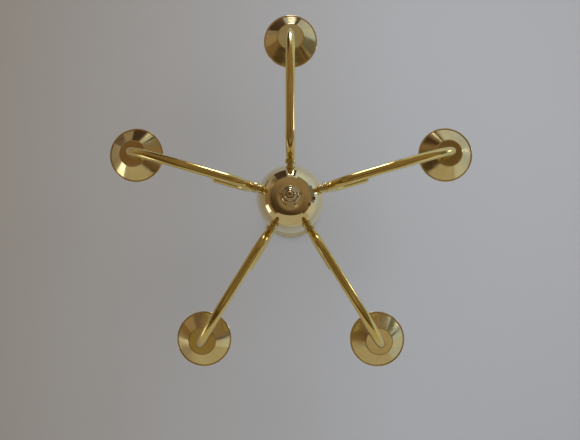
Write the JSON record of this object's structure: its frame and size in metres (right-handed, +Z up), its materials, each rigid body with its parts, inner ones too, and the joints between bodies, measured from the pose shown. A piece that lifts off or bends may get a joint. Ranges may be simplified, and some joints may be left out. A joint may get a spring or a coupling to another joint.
{
  "type": "chandelier",
  "caption": "Polished brass scroll-arm chandelier: mirror ball with finial, curled tube arms with drip cups and candle sleeves, hung by a chain from a ceiling canopy.",
  "frame": {"origin": "middle of the ceiling strap's top face, where it meets the ceiling", "axes": "+Z up to the ceiling, +Y along the first arm; everything hangs below the origin"},
  "size_m": [0.6194, 0.6002, 0.4422],
  "materials": {
    "brass_ball": "mirror polished, clear lacquer",
    "brass_tube": "polished, clear lacquer",
    "brass_cup": "polished, spun, clear lacquer",
    "brass_turned": "polished, turned",
    "brass_chain": "polished, slightly dulled",
    "brass_canopy": "polished, spun",
    "zinc_steel": "zinc plated",
    "black_moulding": "moulded, satin",
    "ivory_sleeve": "smooth, low gloss",
    "white_moulding": "moulded"
  },
  "bodies": {
    "ceiling_mount": {"ceiling_bracket": "zinc_steel", "ceiling_stem": "zinc_steel", "stem_nut": "zinc_steel", "ceiling_loop": "brass_turned"},
    "canopy_set": {"canopy": "brass_canopy", "canopy_ring_nut": "brass_turned"},
    "link_1": {"chain_link_1": "brass_chain"},
    "link_2": {"chain_link_2": "brass_chain"},
    "link_3": {"chain_link_3": "brass_chain"},
    "link_4": {"chain_link_4": "brass_chain"},
    "fixture": {"fixture_loop": "brass_turned", "column_cap": "brass_turned", "column_vase": "brass_turned", "ball_saddle": "brass_turned", "ball_lower_shell": "brass_ball", "ball_upper_shell": "brass_ball", "centre_rod": "zinc_steel", "rod_nuts": "zinc_steel", "terminal_block": "white_moulding", "finial_dish": "brass_turned", "finial_knob": "brass_turned", "arm_nuts": "zinc_steel", "cup_nuts": "zinc_steel", "arm_1": "brass_tube", "scroll_tip_1": "brass_turned", "arm_collar_1": "brass_turned", "cup_1": "brass_cup", "lampholder_1": "black_moulding", "arm_2": "brass_tube", "scroll_tip_2": "brass_turned", "arm_collar_2": "brass_turned", "cup_2": "brass_cup", "lampholder_2": "black_moulding", "arm_3": "brass_tube", "scroll_tip_3": "brass_turned", "arm_collar_3": "brass_turned", "cup_3": "brass_cup", "lampholder_3": "black_moulding", "arm_4": "brass_tube", "scroll_tip_4": "brass_turned", "arm_collar_4": "brass_turned", "cup_4": "brass_cup", "lampholder_4": "black_moulding", "arm_5": "brass_tube", "scroll_tip_5": "brass_turned", "arm_collar_5": "brass_turned", "cup_5": "brass_cup", "lampholder_5": "black_moulding"},
    "sleeve_1": {"candle_sleeve_1": "ivory_sleeve"},
    "sleeve_2": {"candle_sleeve_2": "ivory_sleeve"},
    "sleeve_3": {"candle_sleeve_3": "ivory_sleeve"},
    "sleeve_4": {"candle_sleeve_4": "ivory_sleeve"},
    "sleeve_5": {"candle_sleeve_5": "ivory_sleeve"}
  },
  "joints": [
    {"name": "canopy_drop", "type": "slide", "parent": "ceiling_mount", "child": "canopy_set", "axis": [0, 0, -1], "range_m": [0, 0.03]},
    {"name": "link_1_swing", "type": "hinge", "parent": "ceiling_mount", "child": "link_1", "pos_m": [0, 0, -0.093], "axis": [1, 0, 0], "range_deg": [-15, 15]},
    {"name": "link_2_swing", "type": "hinge", "parent": "link_1", "child": "link_2", "pos_m": [0, 0, -0.1162], "axis": [0, 1, 0], "range_deg": [-15, 15]},
    {"name": "link_3_swing", "type": "hinge", "parent": "link_2", "child": "link_3", "pos_m": [0, 0, -0.1399], "axis": [1, 0, 0], "range_deg": [-15, 15]},
    {"name": "link_4_swing", "type": "hinge", "parent": "link_3", "child": "link_4", "pos_m": [0, 0, -0.1636], "axis": [0, 1, 0], "range_deg": [-15, 15]},
    {"name": "fixture_swing", "type": "hinge", "parent": "link_4", "child": "fixture", "pos_m": [0, 0, -0.1873], "axis": [1, 0, 0], "range_deg": [-15, 15]},
    {"name": "sleeve_1_lift", "type": "slide", "parent": "fixture", "child": "sleeve_1", "axis": [0, 0, 1], "range_m": [0, 0.09]},
    {"name": "sleeve_2_lift", "type": "slide", "parent": "fixture", "child": "sleeve_2", "axis": [0, 0, 1], "range_m": [0, 0.09]},
    {"name": "sleeve_3_lift", "type": "slide", "parent": "fixture", "child": "sleeve_3", "axis": [0, 0, 1], "range_m": [0, 0.09]},
    {"name": "sleeve_4_lift", "type": "slide", "parent": "fixture", "child": "sleeve_4", "axis": [0, 0, 1], "range_m": [0, 0.09]},
    {"name": "sleeve_5_lift", "type": "slide", "parent": "fixture", "child": "sleeve_5", "axis": [0, 0, 1], "range_m": [0, 0.09]}
  ]
}
